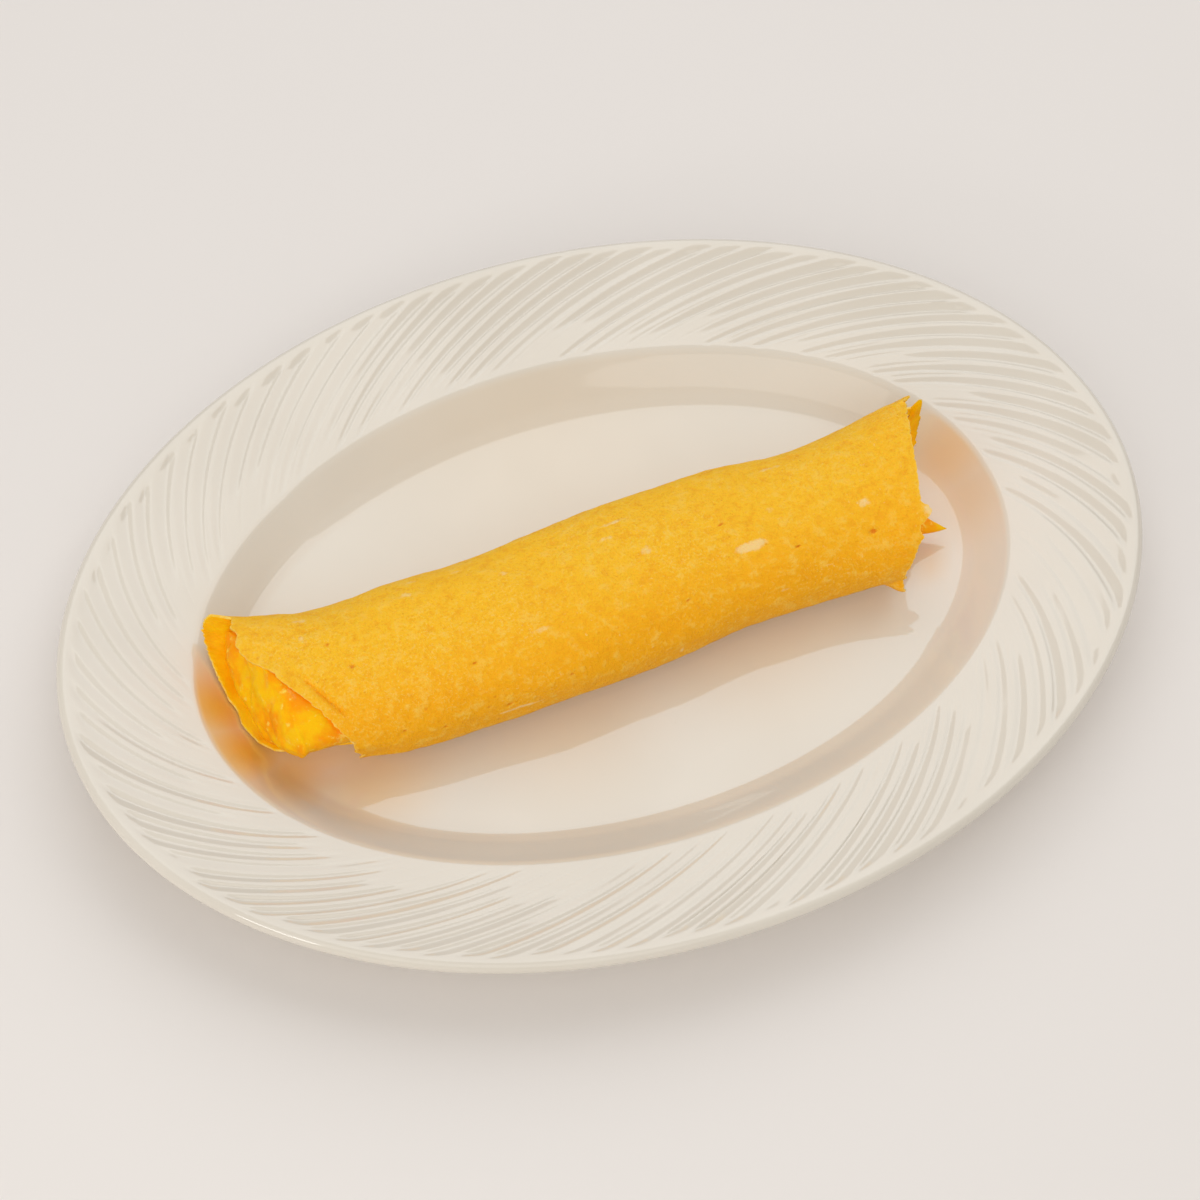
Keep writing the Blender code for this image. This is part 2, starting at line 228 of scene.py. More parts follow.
# Omelette: pale flakes on the skin, as (x in mm, angle, half-length in mm, half-width in mm, strength)
PALE_PATCHES = (
    (37.9, 112, 4.2, 1.5, 1.00),
    (69.8, 105, 1.7, 1.3, 0.75),
    (50.3, 54, 4.0, 0.9, 0.60),
    (43.3, 158, 3.0, 0.8, 0.40),
    (-51.8, 57, 2.2, 1.4, 0.55),
    (-48.8, 41, 2.0, 1.2, 0.50),
    (-37.0, 48, 2.0, 0.9, 0.50),
    (-26.4, 67, 1.8, 0.9, 0.55),
    (-21.8, 114, 2.6, 1.0, 0.50),
    (6.1, 59, 3.8, 0.7, 0.70),
    (2.6, 71, 2.4, 0.8, 0.60),
    (11.2, 90, 1.6, 1.3, 0.55),
    (46.0, 90, 1.5, 0.9, 0.45),
    (47.7, 98, 1.2, 0.8, 0.45),
    (36.9, 132, 2.0, 0.8, 0.35),
    (-79.5, 46, 2.2, 1.2, 0.60),
    (-80.8, 69, 1.1, 2.2, 0.50),
    (69.8, 62, 3.5, 0.7, 0.35),
    (-32.5, 180, 6.4, 0.5, 0.85),
    (12.9, 182, 1.0, 0.8, 0.60),
    (-77.5, 160, 2.5, 1.2, 0.60),
    (86.8, 124, 2.8, 2.6, 1.00),
)

# Omelette: small burst bubbles in the skin, as (x in mm, angle, radius in mm)
PITS = (
    (69.8, 128, 1.2),
    (49.6, 123, 0.6),
    (32.2, 90, 0.5),
    (19.2, 109, 0.6),
    (-75.4, 78, 0.8),
    (-71.1, 97, 0.8),
    (-40.9, 121, 0.5),
    (-17.9, 158, 0.7),
    (-52.5, 173, 0.8),
    (-63.1, 162, 0.8),
    (-35.0, 172, 0.9),
    (-33.6, 171, 0.6),
    (17.6, 134, 0.9),
    (-10.9, 181, 0.5),
)

# Omelette: the fold beside the left end, as (x in mm, angle) from its top to its foot
FOLD = ((-84.5, 92), (-80.2, 113), (-75.5, 136))
FOLD_DEPTH = 0.0014
FOLD_WIDTH = 0.9
FOLD_FADE = 8.0
# how much of the fold's depth is painted as shade along its crease
FOLD_SHADE_SHARE = 0.38

# Filling: where its sides stop, how that leans round the roll, and how its ends swell out
FILLING_LEFT = -0.0930
FILLING_LEFT_LEAN = (0.0050, 0.0015)
FILLING_LEFT_TIP = (-0.0975, -0.0058, 0.0085)
FILLING_LEFT_ROUNDNESS = 0.6
FILLING_RIGHT = 0.0760
FILLING_RIGHT_LEAN = (-0.0060, 0.0)
TONGUE_TIP = (0.0940, -0.0074, 0.0046)
TONGUE_SWELL = ((1.0, 0.0), (0.42, 0.22), (0.24, 0.45), (0.13, 0.66), (0.06, 0.86), (0.0, 1.0))
TONGUE_DROOP = 0.6

# Filling: how deep it slumps away from the sheet at the mouth, and at which angles, in degrees
SLUMP_DEPTH = 0.0039
SLUMP_TURN = 200.0
SLUMP_HALF_TURN = 48.0

# Filling: its lumps, as their height, waves for each metre and shares of that height
LUMP_HEIGHT = 0.0010
LUMPS_PER_METRE = (170.0, 380.0)
SMALL_LUMP_SHARE = 0.50
TONGUE_LUMP_SHARE = 0.5

# Filling: how it makes room for the doubled sheet beside the tucked edge
DOUBLED_SHIFT = math.radians(4.0)
PAST_TUCK = math.radians(8.0)
PAST_TUCK_FADE = math.radians(24.0)

# Soft egg: how far red, green and blue light travel in it, as shares of the subsurface scale
SKIN_SCATTER = (1.0, 0.45, 0.08)
EDGE_SCATTER = (1.0, 0.50, 0.12)
FILLING_SCATTER = (1.0, 0.42, 0.06)

# Stage: lamps, as (name, place, (width, height), radiance, colour, whether it casts a shadow)
LAMPS = (
    ("back_panel", (0.52, 0.74, 1.15), (1.90, 1.62), 1.04, (0.985, 0.992, 1.0), True),
    ("front_panel", (-0.55, -1.10, 1.10), (1.60, 1.10), 0.50, (1.0, 0.980, 0.950), True),
    ("front_glint", (-0.75, -0.50, 0.42), (0.24, 0.16), 5.0, (1.0, 0.990, 0.970), True),
    ("open_shade", (-0.35, -0.80, 1.25), (1.00, 1.00), 1.78, (1.0, 0.966, 0.890), False),
    ("left_card", (-1.25, -0.25, 0.40), (0.80, 0.60), 1.70, (1.0, 0.975, 0.930), False),
)
ROOM_COLOUR = (1.0, 0.970, 0.925, 1.0)
ROOM_STRENGTH = 0.44

# Stage: the camera, which looks at the target from this direction and distance
SENSOR_WIDTH = 36.0
LENS_LENGTH = 132.1
CAMERA_TARGET = Vector((0.0002, 0.00425, 0.0082))
CAMERA_DIRECTION = Vector((-0.1663, -0.4859, 0.8581))
CAMERA_DISTANCE = 1.168

# Mesh fineness
SHEET_COLUMNS = 240
SHEET_RINGS = 150
FILLING_COLUMNS = 150
FILLING_RINGS = 180
END_CROWDING = math.radians(68.0)
SEED = 11


def deselect_all():
    for item in bpy.context.selected_objects:
        item.select_set(False)


def keep_active(piece):
    deselect_all()
    piece.select_set(True)
    bpy.context.view_layer.objects.active = piece


def edit(piece):
    keep_active(piece)
    bpy.ops.object.mode_set(mode="EDIT")
    bpy.ops.mesh.select_all(action="SELECT")


def end_edit():
    bpy.ops.object.mode_set(mode="OBJECT")


def apply_modifier(piece, kind, **settings):
    """Adds a modifier with these settings and applies it."""
    keep_active(piece)
    modifier = piece.modifiers.new(kind.title(), kind)
    for name, value in settings.items():
        setattr(modifier, name, value)
    bpy.ops.object.modifier_apply(modifier=modifier.name)


def smooth_by_angle(piece, degrees):
    keep_active(piece)
    bpy.ops.object.shade_smooth_by_angle(angle=math.radians(degrees))


def finish_piece(piece, node):
    """Hangs a finished piece on the part's one body, in place of its CAD node."""
    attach(piece, "root")
    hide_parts(node)


def blend(start, end, value):
    """0 below start, 1 past end, and an S-curve between them."""
    t = min(1.0, max(0.0, (value - start) / (end - start)))
    return t * t * (3.0 - 2.0 * t)


def mix(first, second, share):
    return first + (second - first) * share


def ripple(*place):
    """Seedless smooth noise from -1 to 1 at a place of one, two or three numbers."""
    return noise.noise(Vector((*place, 0.0, 0.0)[:3]))


def follow(stops, value):
    """The height at this value of a line through (height, value) stops."""
    for (low, start), (high, end) in zip(stops, stops[1:]):
        if value <= end:
            return mix(low, high, (value - start) / (end - start))
    return stops[-1][0]


# The plate


def oval_half_width(half_length):
    """Half-width of the plate's oval that has this half-length."""
    if half_length <= FLOOR_HALF_LENGTH:
        return FLOOR_HALF_WIDTH * half_length / FLOOR_HALF_LENGTH
    if half_length <= SHOULDER_HALF_LENGTH:
        share = (half_length - FLOOR_HALF_LENGTH) / (SHOULDER_HALF_LENGTH - FLOOR_HALF_LENGTH)
        return mix(FLOOR_HALF_WIDTH, SHOULDER_HALF_WIDTH, share)
    share = (half_length - SHOULDER_HALF_LENGTH) / (PLATE_HALF_LENGTH - SHOULDER_HALF_LENGTH)
    return mix(SHOULDER_HALF_WIDTH, PLATE_HALF_WIDTH, share)


def half_length_at(x, y):
    """Half-length of the plate's oval through this point."""
    half_length = FLOOR_HALF_LENGTH
    size = math.hypot(x / half_length, y / oval_half_width(half_length))
    if size * half_length < WALL_START:
        return size * half_length
    for _ in range(12):
        half_length *= size
        size = math.hypot(x / half_length, y / oval_half_width(half_length))
    return half_length


def stretch(start, end, value):
    """How much of the stretch from start to end lies before this value."""
    return max(0.0, min(value, end) - start)


def plate_top(half_length):
    """Height of the plate's upper face, without ribs, on the oval with this half-length."""
    cove_width = COVE_END - WALL_START
    shoulder_width = SHOULDER_END - SHOULDER_START
    cove = stretch(WALL_START, COVE_END, half_length)
    wall = stretch(COVE_END, SHOULDER_START, half_length)
    shoulder = stretch(SHOULDER_START, SHOULDER_END, half_length)
    rim = stretch(SHOULDER_END, PLATE_HALF_LENGTH, half_length)
    height = FLOOR_TOP + WALL_SLOPE * cove**2 / (2.0 * cove_width) + WALL_SLOPE * wall
    height += WALL_SLOPE * shoulder + (RIM_SLOPE - WALL_SLOPE) * shoulder**2 / (2.0 * shoulder_width)
    return height + RIM_SLOPE * rim


def even_turns(count):
    """Angles that space points evenly, by length, round the oval at mid-rim."""
    half_length = 0.5 * (RIB_INNER + RIB_OUTER)
    half_width = oval_half_width(half_length)
    steps = 20 * count
    walked = [0.0]
    for step in range(steps):
        angle = math.tau * (step + 0.5) / steps
        speed = math.hypot(half_length * math.sin(angle), half_width * math.cos(angle))
        walked.append(walked[-1] + speed)
    angles = []
    step = 0
    for index in range(count):
        goal = walked[-1] * index / count
        while walked[step + 1] < goal:
            step += 1
        part = (goal - walked[step]) / (walked[step + 1] - walked[step])
        angles.append(math.tau * (step + part) / steps)
    return angles


def rim_share(half_length):
    """0 at the ribs' inner ends, 1 at their outer ends."""
    return min(1.0, max(0.0, (half_length - RIB_INNER) / (RIB_OUTER - RIB_INNER)))


def rib_sweep(half_length):
    """The angle that the ribs have swept back by this oval."""
    return RIB_SWEEP * rim_share(half_length)


def even_steps(start, end, count):
    return [mix(start, end, step / count) for step in range(count + 1)]


def plate_line():
    """Half-lengths and heights from the well's middle out over the rim, and back underneath."""
    cove = even_steps(WALL_START, COVE_END, COVE_RINGS)
    wall = even_steps(COVE_END, SHOULDER_START, WALL_RINGS)[1:]
    shoulder = even_steps(SHOULDER_START, SHOULDER_END, SHOULDER_RINGS)[1:]
    rim = even_steps(RIB_INNER, RIB_OUTER, RIM_RINGS)
    line = [(reach, plate_top(reach)) for reach in list(FLOOR_RINGS) + cove + wall + shoulder + rim]
    centre = PLATE_HALF_LENGTH - LIP_RADIUS
    middle = plate_top(centre) - LIP_RADIUS
    for turn in even_steps(LIP_HALF_TURN, -LIP_HALF_TURN, LIP_RINGS):
        line.append((centre + LIP_RADIUS * math.cos(turn), middle + LIP_RADIUS * math.sin(turn)))
    for reach in UNDER_RIM_RINGS:
        line.append((reach, plate_top(reach) - RIM_THICKNESS))
    for reach in UNDER_WALL_RINGS:
        line.append((reach + FLANK_OFFSET, plate_top(reach) - FLOOR_THICKNESS))
    underside = FLOOR_TOP - FLOOR_THICKNESS
    foot_inner = FOOT_OUTER - FOOT_WIDTH
    line += [(FOOT_OUTER + FOOT_FLANK, underside), (FOOT_OUTER, 0.0)]
    line += [(foot_inner, 0.0), (foot_inner - FOOT_FLANK, underside), (0.0, underside)]
    return line


class Rib:
    """What makes one groove between two ribs differ from its neighbours."""

    def __init__(self, draw):
        self.depth = GROOVE_DEPTH * (1.0 + draw.uniform(-GROOVE_SPREAD, GROOVE_SPREAD))
        self.offset = draw.uniform(-GROOVE_OFFSET_SPREAD, GROOVE_OFFSET_SPREAD)
        self.width = draw.uniform(*GROOVE_WIDTH_RANGE)
        self.start = draw.choice(GROOVE_STARTS)
        self.end = draw.uniform(*GROOVE_END_RANGE)
        self.fine = FINE_GROOVE_DEPTH * draw.uniform(*FINE_GROOVE_RANGE)
        self.fine_end = draw.uniform(*FINE_GROOVE_END_RANGE)


def groove_depth(rib, place, share):
    """Depth of the ribs' relief at this place across one rib and this share of the rim."""
    lean = (GROOVE_LEAN + rib.offset) * blend(0.0, GROOVE_LEAN_REACHED, share)
    across = place - 0.5 - lean
    half = mix(INNER_HALF_WIDTH, OUTER_HALF_WIDTH, share) * rib.width
    half += lean if across < 0.0 else -lean
    wedge = min(1.0, WEDGE_FLATTENING * max(0.0, 1.0 - abs(across) / half))
    begun = blend(rib.start - GROOVE_START_FADE, rib.start + GROOVE_START_FADE, share)
    grown = mix(INNER_GROOVE_SHARE, 1.0, share) * begun
    depth = rib.depth * wedge * grown * blend(rib.end, rib.end - GROOVE_END_FADE, share)
    crest = max(0.0, 1.0 - min(place, 1.0 - place) / FINE_GROOVE_WIDTH)
    fine_share = blend(0.0, GROOVE_START_FADE, share) * blend(rib.fine_end, FINE_GROOVE_FADE_TO, share)
    return depth + rib.fine * crest * fine_share


def shape_plate(piece):
    """Turns the round lathe form into the oval plate, with the ribs swept and sunk into its rim."""
    draw = random.Random(SEED)
    ribs = [Rib(draw) for _ in range(RIB_COUNT)]
    columns = RIB_COUNT * COLUMNS_PER_RIB
    angles = even_turns(columns)
    for vertex in piece.data.vertices:
        x, y, z = vertex.co
        half_length = math.hypot(x, y)
        if half_length < 1e-6:
            continue
        column = round(math.atan2(y, x) / math.tau * columns) % columns
        share = rim_share(half_length)
        if 0.0 < share < 1.0 and z > plate_top(half_length) - RIB_SURFACE_BAND:
            rib, place = divmod(column / COLUMNS_PER_RIB, 1.0)
            z -= groove_depth(ribs[int(rib)], place, share)
        turn = angles[column] - rib_sweep(half_length)
        half_width = oval_half_width(half_length)
        vertex.co = (PLATE_TRIM * half_length * math.cos(turn), PLATE_TRIM * half_width * math.sin(turn), z)


def painted_bounce_at(point):
    """How strongly the egg's bounce light and reflection are painted on the glaze here, from 0 to 1: beside
    the roll's ends.
    """
    strongest = 0.0
    for x, y, radius, strength in PAINTED_BOUNCE_PLACES:
        away = math.hypot(point.x - x, point.y - y) / radius
        strongest = max(strongest, strength * blend(1.0, 0.0, away))
    return strongest * blend(SHOULDER_END, SHOULDER_START, half_length_at(point.x, point.y))


def make_plate(material):
    """The glazed plate: a line spun round as on a lathe, then drawn out into its oval."""
    line = plate_line()
    mesh = bpy.data.meshes.new("dressed_plate")
    edges = [(index, index + 1) for index in range(len(line) - 1)]
    mesh.from_pydata([(reach, 0.0, height) for reach, height in line], edges, [])
    piece = bpy.data.objects.new("dressed_plate", mesh)
    bpy.context.scene.collection.objects.link(piece)
    steps = RIB_COUNT * COLUMNS_PER_RIB
    apply_modifier(piece, "SCREW", steps=steps, axis="Z", use_merge_vertices=True, merge_threshold=1e-6)
    edit(piece)
    bpy.ops.mesh.remove_doubles(threshold=1e-6)
    bpy.ops.mesh.normals_make_consistent(inside=False)
    end_edit()
    shape_plate(piece)
    smooth_by_angle(piece, 60.0)
    # painted bounce light: how much of the egg's orange is painted on the glaze at each point
    warm = piece.data.attributes.new("warm", "FLOAT", "POINT")
    for index, vertex in enumerate(piece.data.vertices):
        warm.data[index].value = painted_bounce_at(vertex.co)
    piece.data.materials.append(material)
    finish_piece(piece, "plate")


# The roll that the sheet and the filling share


def section_at(x):
    """Centre y, half-width and height of the roll at x, on a smooth curve through the sections."""
    last = len(SECTIONS) - 2
    index = 0
    while index < last and x > SECTIONS[index + 1][0]:
        index += 1
    before = SECTIONS[max(0, index - 1)]
    start = SECTIONS[index]
    end = SECTIONS[index + 1]
    after = SECTIONS[min(last + 1, index + 2)]
    span = end[0] - start[0]
    t = min(1.0, max(0.0, (x - start[0]) / span))
    values = []
    for place in (1, 2, 3):
        slope_in = (end[place] - before[place]) / (end[0] - before[0])
        slope_out = (after[place] - start[place]) / (after[0] - start[0])
        values.append(
            (2 * t**3 - 3 * t**2 + 1) * start[place]
            + (t**3 - 2 * t**2 + t) * span * slope_in
            + (3 * t**2 - 2 * t**3) * end[place]
            + (t**3 - t**2) * span * slope_out
        )
    return values


def rounded_corner(value, squareness):
    """Turns a sine or cosine into the coordinate of a superellipse."""
    return math.copysign(abs(value) ** (2.0 / squareness), value)


def well_lift(x, y):
    """How far the plate's wall stands above its floor under this point."""
    return plate_top(min(half_length_at(x, y), RIB_INNER)) - FLOOR_TOP


def surface_relief(x, angle):
    """The sheet's broad unevenness, which fades on the underside."""
    place = Vector((x * RELIEF_ALONG, math.cos(angle) * RELIEF_ROUND, math.sin(angle) * RELIEF_ROUND))
    above = blend(-0.9, -0.2, math.sin(angle))
    return RELIEF_HEIGHT * above * noise.noise(place)


def roll_point(x, angle, inset):
    """A point of the roll: angle turns from the far side over the top, inset is the depth inside."""
    centre_y, half_width, height = section_at(x)
    half_height = 0.5 * height
    inside = inset - surface_relief(x, angle)
    squareness = TOP_SQUARENESS if math.sin(angle) > 0.0 else UNDERSIDE_SQUARENESS
    y = centre_y + (half_width - inside) * rounded_corner(math.cos(angle), squareness)
    z = half_height + (half_height - inside) * rounded_corner(math.sin(angle), squareness)
    lift = well_lift(x, y) * (1.0 - LIFT_LOST_AT_TOP * z / height)
    return Vector((x, y, FLOOR_TOP + CLEARANCE + z + lift))


def places_along(rings):
    """Places from 0 to 1 along the roll, closer together near both ends."""
    turns = even_steps(-END_CROWDING, END_CROWDING, rings)
    return [0.5 + 0.5 * math.sin(turn) / math.sin(END_CROWDING) for turn in turns]


def spread_grid(name, columns, rings, place_point):
    """A flat grid laid out by a rule: place_point gives the point at (ring, column)."""
    deselect_all()
    bpy.ops.mesh.primitive_grid_add(x_subdivisions=rings, y_subdivisions=columns, size=1.0)
    piece = bpy.context.active_object
    piece.name = name
    piece.data.name = name
    for vertex in piece.data.vertices:
        ring = round((vertex.co.x + 0.5) * rings)
        column = round((vertex.co.y + 0.5) * columns)
        vertex.co = place_point(vertex.index, ring, column)
    return piece


# The egg sheet


def sheet_share(angle):
    """How far round the roll the sheet has come at this angle, from 0 at its free edge."""
    return (FREE_EDGE_ANGLE - angle) / (FREE_EDGE_ANGLE - TUCK_ANGLE)


def end_setback(angle, longest, power, tuck_power):
    """0 where the round sheet is longest, 1 at its free edge and at its tucked edge."""
    share = sheet_share(angle)
    if share > longest:
        return ((share - longest) / (1.0 - longest)) ** tuck_power
    return min(1.0, (longest - share) / (longest - FULL_SETBACK)) ** power


def bump_at(degrees, centre, width):
    """A rounded bump, 1 at its centre and 0 past its width."""
    away = abs(degrees - centre) / width
    return max(0.0, 1.0 - away * away) ** 1.5


def torn_by(degrees, tears):
    """How far these tears shift the end of the sheet at this angle, along X."""
    return sum(0.001 * reach * bump_at(degrees, centre, width) for centre, width, reach in tears)


def fray(degrees, row):
    """Fine raggedness of a torn edge, in metres."""
    return sum(reach * ripple(degrees / wave, row + shift) for reach, wave, shift in FRAYS)


def left_end(angle):
    degrees = math.degrees(angle)
    setback = LEFT_SETBACK * end_setback(angle, LEFT_LONGEST, LEFT_POWER, LEFT_TUCK_POWER)
    return LEFT_REACH + setback + torn_by(degrees, LEFT_TEARS) + fray(degrees, 7.0)


def right_end(angle):
    degrees = math.degrees(angle)
    setback = RIGHT_SETBACK * end_setback(angle, RIGHT_LONGEST, RIGHT_POWER, RIGHT_TUCK_POWER)
    return RIGHT_REACH - setback + torn_by(degrees, RIGHT_TEARS) + RIGHT_FRAY * fray(degrees, 3.0)


def sheet_inset(angle):
    """The sheet's last stretch slips inside its free edge, one thickness deeper."""
    return (SHEET_THICKNESS + CLEARANCE) * blend(TUCK_RAMP_START, TUCK_RAMP_END, angle)


def patch_strength(x, degrees, patches):
    """How much of a pale patch lies here: 1 in its middle and 0 from its edge outwards."""
    best = 0.0
    for centre, turn, half_length, half_width, strength in patches:
        along = (x * 1000.0 - centre) / half_length
        across = (degrees - turn) * ARC_PER_DEGREE / half_width
        best = max(best, strength * (1.0 - 0.5 * (along * along + across * across)))
    return max(0.0, best)


def pit_depth(x, degrees):
    deepest = 0.0
    for centre, turn, radius in PITS:
        away = math.hypot(x * 1000.0 - centre, (degrees - turn) * ARC_PER_DEGREE) / radius
        deepest = max(deepest, 1.0 - away * away)
    return deepest


def fold_depth(x, degrees):
    """How deep the fold beside the left end is here, from 0 to 1."""
    fold_top = FOLD[0][1]
    fold_foot = FOLD[-1][1]
    for (start, top), (end, foot) in zip(FOLD, FOLD[1:]):
        if top <= degrees <= foot:
            centre = mix(start, end, (degrees - top) / (foot - top))
            away = (x * 1000.0 - centre) / FOLD_WIDTH
            from_top = blend(fold_top, fold_top + FOLD_FADE, degrees)
            from_foot = blend(fold_foot, fold_foot - FOLD_FADE, degrees)
            return math.exp(-away * away) * (from_top * from_foot)
    return 0.0


def bulge_height(x, degrees):
    total = 0.0
    for centre, half_length, turn, half_turn, height in BULGES:
        along = bump_at(x * 1000.0, centre, half_length)
        total += 0.001 * height * along * bump_at(degrees, turn, half_turn)
    return total


def fine_relief(x, degrees):
    """The skin's small bumps, in metres outwards."""
    bumps = sum(height * ripple(x * along, degrees * turns) for height, along, turns in SKIN_BUMPS)
    sunk = FOLD_DEPTH * fold_depth(x, degrees) + PIT_DEPTH * pit_depth(x, degrees)
    return bulge_height(x, degrees) + bumps - sunk - SKIN_SET_BACK


def bent_by(degrees, to_end, bends):
    """How far these bends move a point at this angle and distance from the sheet's torn end."""
    total = Vector()
    for centre, width, lean, rise, length in bends:
        total += Vector((0.0, -lean, rise)) * bump_at(degrees, centre, width) * blend(length, 0.0, to_end)
    return total


def make_sheet(materials):
    """The thin sheet of egg, rolled up, thinner at its torn ends and its free edge."""
    places = places_along(SHEET_RINGS)
    marks = {"pale": {}, "pit_and_fold_shade": {}, "edge": {}, "low": {}}
    angles = even_steps(FREE_EDGE_ANGLE, TUCK_ANGLE, SHEET_COLUMNS)
    ends = [(left_end(angle), right_end(angle)) for angle in angles]

    def place_point(index, ring, column):
        angle = angles[column]
        start, end = ends[column]
        x = mix(start, end, places[ring])
        degrees = math.degrees(angle)
        marks["pale"][index] = patch_strength(x, degrees, PALE_PATCHES)
        # darker in the pits, and painted shade along the fold's crease
        marks["pit_and_fold_shade"][index] = max(pit_depth(x, degrees), FOLD_SHADE_SHARE * fold_depth(x, degrees))
        to_edge = min(x - start, end - x, ARC_PER_DEGREE * 0.001 * (degrees - math.degrees(TUCK_ANGLE)))
        to_edge = min(to_edge, ARC_PER_DEGREE * 0.001 * (math.degrees(FREE_EDGE_ANGLE) - degrees))
        marks["edge"][index] = max(0.0, 1.0 - to_edge / THIN_EDGE)
        # painted shade on the roll's front and lower side
        marks["low"][index] = blend(*PAINTED_FRONT_SHADE, degrees)
        point = roll_point(x, angle, sheet_inset(angle) - fine_relief(x, degrees))
        return point + bent_by(degrees, end - x, RIGHT_BENDS) + bent_by(degrees, x - start, LEFT_BENDS)

    piece = spread_grid("dressed_sheet", SHEET_COLUMNS, SHEET_RINGS, place_point)
    for name, values in marks.items():
        layer = piece.data.attributes.new(name, "FLOAT", "POINT")
        for index, value in values.items():
            layer.data[index].value = value
    thick = piece.vertex_groups.new(name="thick")
    for index, value in marks["edge"].items():
        thick.add([index], 1.0 - EDGE_THINNING * value, "REPLACE")
    for material in materials:
        piece.data.materials.append(material)
    apply_modifier(
        piece,
        "SOLIDIFY",
        thickness=SHEET_THICKNESS,
        offset=sheet_side(piece),
        vertex_group="thick",
        thickness_vertex_group=0.0,
        material_offset=1,
        material_offset_rim=2,
    )
    edit(piece)
    bpy.ops.mesh.normals_make_consistent(inside=False)
    end_edit()
    smooth_by_angle(piece, 70.0)
    finish_piece(piece, "egg_skin")


def sheet_side(piece):
    """Which way the sheet's thickness goes to lie inside it: -1 where its faces look outwards."""
    face = max(piece.data.polygons, key=lambda polygon: polygon.center.z)
    return -1.0 if face.normal.z > 0.0 else 1.0


# The filling


def filling_inset(angle, clearance, in_mouth):
    """The filling clears the sheet, and both layers where it is doubled, and slumps round in the mouth."""
    layer = SHEET_THICKNESS + CLEARANCE
    wrapped = angle - math.tau if angle > math.radians(170.0) else angle
    past_corner = (math.degrees(angle) - SLUMP_TURN + 180.0) % 360.0 - 180.0
    corner = SLUMP_DEPTH * in_mouth * bump_at(past_corner, 0.0, SLUMP_HALF_TURN)
    past_tuck = TUCK_ANGLE - PAST_TUCK
    doubled = blend(TUCK_RAMP_START + DOUBLED_SHIFT, TUCK_RAMP_END + DOUBLED_SHIFT, wrapped)
    single = blend(past_tuck, past_tuck - PAST_TUCK_FADE, wrapped)
    return SHEET_THICKNESS + clearance + layer * doubled * (1.0 - single) + corner


def filling_end(angle, middle, lean):
    """Where the filling's side stops at this angle, leaning with the roll's slanting end."""
    return middle - lean[0] * math.cos(angle) + lean[1] * math.sin(angle)


def above_floor(point):
    x, y, height = point
    return Vector((x, y, FLOOR_TOP + height))


def filling_side(angle, place):
    start = filling_end(angle, FILLING_LEFT, FILLING_LEFT_LEAN)
    end = filling_end(angle, FILLING_RIGHT, FILLING_RIGHT_LEAN)
    above = blend(0.1, 0.7, math.sin(angle - math.radians(45.0)))
    clearance = mix(FILLING_CLEARANCE, MOUTH_CLEARANCE, above * blend(0.12, 0.0, place))
    inset = filling_inset(angle, clearance, blend(0.20, 0.02, place))
    return roll_point(mix(start, end, place), angle, inset)


def ring_middle(place):
    turns = [math.tau * step / 24 for step in range(24)]
    return sum((filling_side(turn, place) for turn in turns), Vector()) / len(turns)


def make_filling(material):
    """The soft filling, which swells out of the left mouth and ends in a torn tongue."""
    left_tip = above_floor(FILLING_LEFT_TIP)
    tongue_tip = above_floor(TONGUE_TIP)
    left_middle = ring_middle(0.0)
    right_middle = ring_middle(1.0)
    swelling = FILLING_RINGS // 3

    def place_point(index, ring, column):
        angle = FREE_EDGE_ANGLE - math.tau * column / FILLING_COLUMNS
        if ring < swelling:
            way = 1.0 - ring / swelling
            size = (1.0 - way * way) ** FILLING_LEFT_ROUNDNESS
            point = left_middle.lerp(left_tip, way) + (filling_side(angle, 0.0) - left_middle) * size
        elif ring > FILLING_RINGS - swelling:
            way = 1.0 - (FILLING_RINGS - ring) / swelling
            size = follow(TONGUE_SWELL, way)
            axis = right_middle.lerp(tongue_tip, way**TONGUE_DROOP)
            axis.x = mix(right_middle.x, tongue_tip.x, way)
            point = axis + (filling_side(angle, 1.0) - right_middle) * size
        else:
            return filling_side(angle, (ring - swelling) / (FILLING_RINGS - 2 * swelling))
        outwards = (point - left_middle.lerp(right_middle, 0.1 if ring < swelling else 0.9)).normalized()
        large, small = (ripple(*(point * scale)) for scale in LUMPS_PER_METRE)
        away_from_ends = blend(0.0, 0.08, 1.0 - way) * blend(0.0, 0.10, way)
        height = LUMP_HEIGHT if ring < swelling else TONGUE_LUMP_SHARE * LUMP_HEIGHT
        return point + outwards * height * (large + SMALL_LUMP_SHARE * small) * away_from_ends

    piece = spread_grid("dressed_filling", FILLING_COLUMNS, FILLING_RINGS, place_point)
    edit(piece)
    bpy.ops.mesh.remove_doubles(threshold=1e-6)
    bpy.ops.mesh.normals_make_consistent(inside=False)
    end_edit()
    smooth_by_angle(piece, 80.0)
    piece.data.materials.append(material)
    finish_piece(piece, "filling")


# Materials


class Value:
    """A socket in a material, on which Python's operators add Math nodes."""

    def __init__(self, finish, socket):
        self.finish = finish
        self.socket = socket

    def maths(self, operation, first, second, clamp=False):
        settings = {"operation": operation, "use_clamp": clamp}
        return self.finish.node("Math", settings, {0: first, 1: second})

    def __add__(self, other):
        return self.maths("ADD", self, other)

    def __radd__(self, other):
        return self.maths("ADD", other, self)

    def __sub__(self, other):
        return self.maths("SUBTRACT", self, other)

    def __rsub__(self, other):
        return self.maths("SUBTRACT", other, self)

    def __mul__(self, other):
        return self.maths("MULTIPLY", self, other)

    def __rmul__(self, other):
        return self.maths("MULTIPLY", other, self)

    def held(self):
        """The same value, held between 0 and 1."""
        return self.maths("ADD", self, 0.0, clamp=True)

    def ramp(self, start, end):
        """0 at start, 1 at end and a soft slope between them."""
        settings = {"interpolation_type": "SMOOTHSTEP"}
        return self.finish.node("MapRange", settings, {"Value": self, "From Min": start, "From Max": end})


